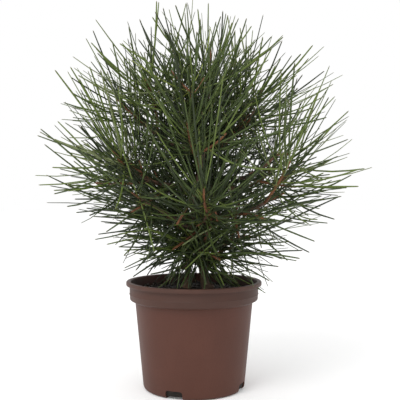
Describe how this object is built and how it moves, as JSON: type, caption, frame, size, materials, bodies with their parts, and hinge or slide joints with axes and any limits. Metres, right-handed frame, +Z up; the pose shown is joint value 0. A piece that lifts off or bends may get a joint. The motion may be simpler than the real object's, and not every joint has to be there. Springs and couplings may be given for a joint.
{
  "type": "potted umbrella pine",
  "caption": "Young umbrella pine with a round crown of long, blunt needles on tiers of boughs, growing from two stems in a tapered plastic nursery pot.",
  "frame": {"origin": "middle of the pot's flat underside", "axes": "+Z up; the side of the plant seen in the picture faces -Y, with +X to its right"},
  "size_m": [0.3357, 0.3543, 0.4239],
  "materials": {
    "pot": "satin brown moulded plastic",
    "soil": "damp crumbly potting soil",
    "bark": "thin reddish-brown bark",
    "needles": "leathery green needles"
  },
  "bodies": {
    "root": {"bough_belt_2": "bark", "bough_belt_3": "bark", "bough_belt_4": "bark", "bough_belt_5": "bark", "bough_belt_6": "bark", "bough_foot_1": "bark", "bough_foot_2": "bark", "bough_foot_3": "bark", "bough_low_1": "bark", "bough_low_2": "bark", "bough_low_3": "bark", "bough_low_4": "bark", "bough_low_5": "bark", "bough_shoulder_1": "bark", "bough_shoulder_2": "bark", "bough_shoulder_3": "bark", "bough_shoulder_4": "bark", "bough_shoulder_5": "bark", "bough_skirt_1": "bark", "bough_skirt_2": "bark", "bough_skirt_3": "bark", "bough_skirt_4": "bark", "bough_skirt_5": "bark", "bough_skirt_6": "bark", "bough_skirt_7": "bark", "needles_belt_1": "needles", "needles_belt_2": "needles", "needles_belt_3": "needles", "needles_belt_4": "needles", "needles_belt_5": "needles", "needles_belt_6": "needles", "needles_foot_1": "needles", "needles_foot_2": "needles", "needles_foot_3": "needles", "needles_low_1": "needles", "needles_low_2": "needles", "needles_low_3": "needles", "needles_low_4": "needles", "needles_low_5": "needles", "needles_shoulder_1": "needles", "needles_shoulder_2": "needles", "needles_shoulder_3": "needles", "needles_shoulder_4": "needles", "needles_shoulder_5": "needles", "needles_skirt_1": "needles", "needles_skirt_2": "needles", "needles_skirt_3": "needles", "needles_skirt_4": "needles", "needles_skirt_5": "needles", "needles_skirt_6": "needles", "needles_skirt_7": "needles", "needles_top": "needles", "pot": "pot", "second_stem": "bark", "soil": "soil", "trunk": "bark"}
  },
  "joints": []
}
